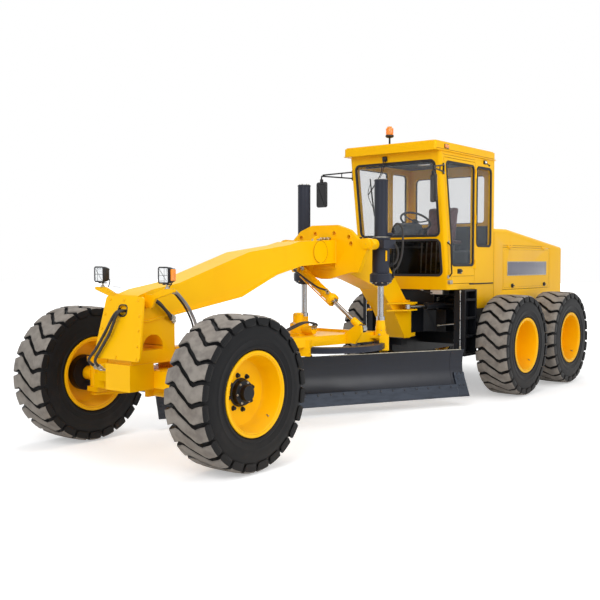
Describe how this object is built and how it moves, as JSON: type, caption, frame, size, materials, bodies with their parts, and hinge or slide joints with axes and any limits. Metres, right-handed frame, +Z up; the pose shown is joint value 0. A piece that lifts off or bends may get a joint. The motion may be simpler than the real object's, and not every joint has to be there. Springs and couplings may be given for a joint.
{
  "type": "motor grader",
  "caption": "Articulated motor grader: long front beam, drawbar, turning circle and tilting moldboard, leaning steered front wheels, cab and tandem rear drive.",
  "frame": {"origin": "on the ground below the middle of the machine's length and width", "axes": "+X forward to the front axle, +Y to the driver's left, +Z up"},
  "size_m": [8.8801, 2.6, 3.5991],
  "materials": {
    "beacon_amber": "amber lens",
    "black_paint": "satin black paint",
    "blade_paint": "semi-gloss dark slate paint",
    "console_grey": "grained plastic",
    "edge_steel": "worn steel",
    "engine_grey": "cast",
    "glass": "clear",
    "lamp_glass": "clear lens",
    "rod_chrome": "polished",
    "seat_fabric": "worn vinyl",
    "tyre_rubber": "matte rubber",
    "wheel_yellow": "satin paint",
    "yellow_paint": "glossy paint"
  },
  "bodies": {
    "rear_frame": {"rear_frame": "black_paint", "tandem_axle": "black_paint", "hood": "yellow_paint", "engine_block": "engine_grey", "radiator_grille": "black_paint", "cab_shell": "yellow_paint", "cab_roof": "yellow_paint", "cab_glass": "glass", "seat": "seat_fabric", "steering_console": "console_grey", "mirrors": "black_paint", "beacon_and_lamp": "beacon_amber", "steps_and_rails": "black_paint"},
    "front_frame": {"gooseneck": "yellow_paint", "front_cover_plate": "yellow_paint", "headlamps": "lamp_glass", "lift_saddle": "yellow_paint", "front_axle_beam": "yellow_paint"},
    "steering_rod": {"steering_rod": "rod_chrome"},
    "drawbar_swivel": {"drawbar_swivel": "black_paint"},
    "drawbar": {"drawbar": "yellow_paint"},
    "circle": {"circle": "blade_paint"},
    "blade_carrier": {"blade_carrier": "blade_paint"},
    "moldboard": {"moldboard": "blade_paint", "cutting_edge": "edge_steel"},
    "tilt_barrel": {"tilt_barrel": "blade_paint"},
    "tilt_rod": {"tilt_rod": "rod_chrome"},
    "shift_pin": {"shift_pin": "black_paint"},
    "shift_barrel": {"shift_barrel": "yellow_paint"},
    "shift_rod": {"shift_rod": "rod_chrome"},
    "turn_barrel_left": {"turn_barrel_left": "black_paint"},
    "turn_rod_left": {"turn_rod_left": "rod_chrome"},
    "turn_barrel_right": {"turn_barrel_right": "black_paint"},
    "turn_rod_right": {"turn_rod_right": "rod_chrome"},
    "lean_carrier_left": {"lean_carrier_left": "yellow_paint"},
    "knuckle_left": {"knuckle_left": "yellow_paint"},
    "lean_carrier_right": {"lean_carrier_right": "yellow_paint"},
    "knuckle_right": {"knuckle_right": "yellow_paint"},
    "wheel_front_left": {"tyre_front_left": "tyre_rubber", "rim_front_left": "wheel_yellow"},
    "wheel_front_right": {"tyre_front_right": "tyre_rubber", "rim_front_right": "wheel_yellow"},
    "wheel_tandem_front_left": {"tyre_tandem_front_left": "tyre_rubber", "rim_tandem_front_left": "wheel_yellow"},
    "wheel_tandem_front_right": {"tyre_tandem_front_right": "tyre_rubber", "rim_tandem_front_right": "wheel_yellow"},
    "wheel_tandem_rear_left": {"tyre_tandem_rear_left": "tyre_rubber", "rim_tandem_rear_left": "wheel_yellow"},
    "wheel_tandem_rear_right": {"tyre_tandem_rear_right": "tyre_rubber", "rim_tandem_rear_right": "wheel_yellow"},
    "lift_barrel_left": {"lift_barrel_left": "blade_paint"},
    "lift_rod_left": {"lift_rod_left": "rod_chrome"},
    "lift_barrel_right": {"lift_barrel_right": "blade_paint"},
    "lift_rod_right": {"lift_rod_right": "rod_chrome"},
    "cab_door_left": {"cab_door_left": "yellow_paint", "door_glass_left": "glass"},
    "hood_door_left": {"hood_door_left": "yellow_paint"},
    "cab_door_right": {"cab_door_right": "yellow_paint", "door_glass_right": "glass"},
    "hood_door_right": {"hood_door_right": "yellow_paint"}
  },
  "joints": [
    {"name": "articulation", "type": "hinge", "parent": "rear_frame", "child": "front_frame", "pos_m": [-0.707, 0, 1.025], "axis": [0, 0, -1], "range_deg": [-25, 25]},
    {"name": "turn_barrel_swing_left", "type": "hinge", "parent": "rear_frame", "child": "turn_barrel_left", "pos_m": [-1.187, 0.5, 1.215], "axis": [0, 0, 1], "range_deg": [-9.3, 9.3]},
    {"name": "turn_rod_slide_left", "type": "slide", "parent": "turn_barrel_left", "child": "turn_rod_left", "axis": [0.9682, -0.2502, 0], "range_m": [-0.159, 0.159]},
    {"name": "turn_barrel_swing_right", "type": "hinge", "parent": "rear_frame", "child": "turn_barrel_right", "pos_m": [-1.187, -0.5, 1.215], "axis": [0, 0, 1], "range_deg": [-9.3, 9.3]},
    {"name": "turn_rod_slide_right", "type": "slide", "parent": "turn_barrel_right", "child": "turn_rod_right", "axis": [0.9682, 0.2502, 0], "range_m": [-0.159, 0.159]},
    {"name": "lean_left", "type": "hinge", "parent": "front_frame", "child": "lean_carrier_left", "pos_m": [3.763, 0.72, 0.6], "axis": [1, 0, 0], "range_deg": [-17, 17]},
    {"name": "steer_left", "type": "hinge", "parent": "lean_carrier_left", "child": "knuckle_left", "pos_m": [3.763, 0.88, 0.65], "axis": [0, 0, 1], "range_deg": [-45, 45]},
    {"name": "lean_right", "type": "hinge", "parent": "front_frame", "child": "lean_carrier_right", "pos_m": [3.763, -0.72, 0.6], "axis": [1, 0, 0], "range_deg": [-17, 17]},
    {"name": "steer_right", "type": "hinge", "parent": "lean_carrier_right", "child": "knuckle_right", "pos_m": [3.763, -0.88, 0.65], "axis": [0, 0, 1], "range_deg": [-45, 45]},
    {"name": "steering_rod_slide", "type": "slide", "parent": "front_frame", "child": "steering_rod", "axis": [0, 1, 0], "range_m": [-0.18, 0.18]},
    {"name": "spin_front_left", "type": "hinge", "parent": "knuckle_left", "child": "wheel_front_left", "pos_m": [3.763, 1.0775, 0.674], "axis": [0, 1, 0], "continuous": true},
    {"name": "spin_front_right", "type": "hinge", "parent": "knuckle_right", "child": "wheel_front_right", "pos_m": [3.763, -1.0775, 0.674], "axis": [0, 1, 0], "continuous": true},
    {"name": "spin_tandem_front_left", "type": "hinge", "parent": "rear_frame", "child": "wheel_tandem_front_left", "pos_m": [-1.683, 1.0775, 0.674], "axis": [0, 1, 0], "continuous": true},
    {"name": "spin_tandem_front_right", "type": "hinge", "parent": "rear_frame", "child": "wheel_tandem_front_right", "pos_m": [-1.683, -1.0775, 0.674], "axis": [0, 1, 0], "continuous": true},
    {"name": "spin_tandem_rear_left", "type": "hinge", "parent": "rear_frame", "child": "wheel_tandem_rear_left", "pos_m": [-3.223, 1.0775, 0.674], "axis": [0, 1, 0], "continuous": true},
    {"name": "spin_tandem_rear_right", "type": "hinge", "parent": "rear_frame", "child": "wheel_tandem_rear_right", "pos_m": [-3.223, -1.0775, 0.674], "axis": [0, 1, 0], "continuous": true},
    {"name": "drawbar_swing", "type": "hinge", "parent": "front_frame", "child": "drawbar_swivel", "pos_m": [3.343, 0, 0.89], "axis": [0, 0, -1], "range_deg": [-8, 8]},
    {"name": "drawbar_lift", "type": "hinge", "parent": "drawbar_swivel", "child": "drawbar", "pos_m": [3.343, 0, 0.89], "axis": [0, 1, 0], "range_deg": [-14, 7.5]},
    {"name": "circle_turn", "type": "hinge", "parent": "drawbar", "child": "circle", "pos_m": [1.177, 0, 0.79], "axis": [0, 0, 1], "continuous": true},
    {"name": "blade_tilt", "type": "hinge", "parent": "circle", "child": "blade_carrier", "pos_m": [1.13299, -0.08419, 0.255], "axis": [-0.8862, 0.4633, 0], "range_deg": [-10, 30]},
    {"name": "side_shift", "type": "slide", "parent": "blade_carrier", "child": "moldboard", "axis": [0.8862, -0.4633, 0], "range_m": [-0.45, 0.08]},
    {"name": "tilt_barrel_swing", "type": "hinge", "parent": "circle", "child": "tilt_barrel", "pos_m": [0.88049, -0.56717, 0.735], "axis": [-0.8862, 0.4633, 0], "range_deg": [-9.19, 3.2]},
    {"name": "tilt_rod_slide", "type": "slide", "parent": "tilt_barrel", "child": "tilt_rod", "axis": [0.442, 0.8455, -0.2995], "range_m": [-0.0584, 0.1711]},
    {"name": "lift_barrel_swing_left", "type": "hinge", "parent": "front_frame", "child": "lift_barrel_left", "pos_m": [0.783, 0.57, 1.994], "axis": [1, 0, 0], "range_deg": [-19.3, 19.3]},
    {"name": "lift_rod_slide_left", "type": "slide", "parent": "lift_barrel_left", "child": "lift_rod_left", "axis": [0, 0, -1], "range_m": [-0.3381, 0.6285]},
    {"name": "lift_barrel_swing_right", "type": "hinge", "parent": "front_frame", "child": "lift_barrel_right", "pos_m": [0.783, -0.57, 1.994], "axis": [1, 0, 0], "range_deg": [-19.3, 19.3]},
    {"name": "lift_rod_slide_right", "type": "slide", "parent": "lift_barrel_right", "child": "lift_rod_right", "axis": [0, 0, -1], "range_m": [-0.3381, 0.6285]},
    {"name": "shift_pin_swing", "type": "hinge", "parent": "front_frame", "child": "shift_pin", "pos_m": [1.203, -0.31, 1.72], "axis": [1, 0, 0], "range_deg": [-18.36, 9.97]},
    {"name": "shift_barrel_swing", "type": "hinge", "parent": "shift_pin", "child": "shift_barrel", "pos_m": [1.203, -0.31, 1.72], "axis": [0.9056, -0.2539, -0.3398], "range_deg": [-10.26, 10.26]},
    {"name": "shift_rod_slide", "type": "slide", "parent": "shift_barrel", "child": "shift_rod", "axis": [0, 0.8011, -0.5986], "range_m": [-0.1787, 0.3319]},
    {"name": "cab_door_hinge_left", "type": "hinge", "parent": "rear_frame", "child": "cab_door_left", "pos_m": [-1.313, 0.701, 2.3], "axis": [0, 0, 1], "range_deg": [0, 100]},
    {"name": "hood_door_hinge_left", "type": "hinge", "parent": "rear_frame", "child": "hood_door_left", "pos_m": [-3.002, 0.701, 1.998], "axis": [1, 0, 0], "range_deg": [0, 80]},
    {"name": "cab_door_hinge_right", "type": "hinge", "parent": "rear_frame", "child": "cab_door_right", "pos_m": [-1.313, -0.701, 2.3], "axis": [0, 0, -1], "range_deg": [0, 100]},
    {"name": "hood_door_hinge_right", "type": "hinge", "parent": "rear_frame", "child": "hood_door_right", "pos_m": [-3.002, -0.701, 1.998], "axis": [-1, 0, 0], "range_deg": [0, 80]}
  ],
  "couplings": [
    {"joint": "turn_barrel_swing_left", "follows": "articulation", "ratio": -0.35161},
    {"joint": "turn_rod_slide_left", "follows": "articulation", "m_per_rad": 0.36025},
    {"joint": "turn_barrel_swing_right", "follows": "articulation", "ratio": -0.35161},
    {"joint": "turn_rod_slide_right", "follows": "articulation", "m_per_rad": -0.36025},
    {"joint": "lean_right", "follows": "lean_left", "ratio": 1},
    {"joint": "steer_right", "follows": "steer_left", "ratio": 1},
    {"joint": "steering_rod_slide", "follows": "steer_left", "m_per_rad": -0.22508},
    {"joint": "tilt_barrel_swing", "follows": "blade_tilt", "ratio": -0.29967},
    {"joint": "tilt_rod_slide", "follows": "blade_tilt", "m_per_rad": 0.3229},
    {"joint": "lift_barrel_swing_left", "follows": "drawbar_swing", "ratio": 2.3765},
    {"joint": "lift_rod_slide_left", "follows": "drawbar_lift", "m_per_rad": -2.56},
    {"joint": "lift_barrel_swing_right", "follows": "drawbar_swing", "ratio": 2.3765},
    {"joint": "lift_rod_slide_right", "follows": "drawbar_lift", "m_per_rad": -2.56},
    {"joint": "shift_pin_swing", "follows": "drawbar_lift", "ratio": 1.29},
    {"joint": "shift_barrel_swing", "follows": "drawbar_swing", "ratio": 1.2452},
    {"joint": "shift_rod_slide", "follows": "drawbar_lift", "m_per_rad": -1.35}
  ]
}
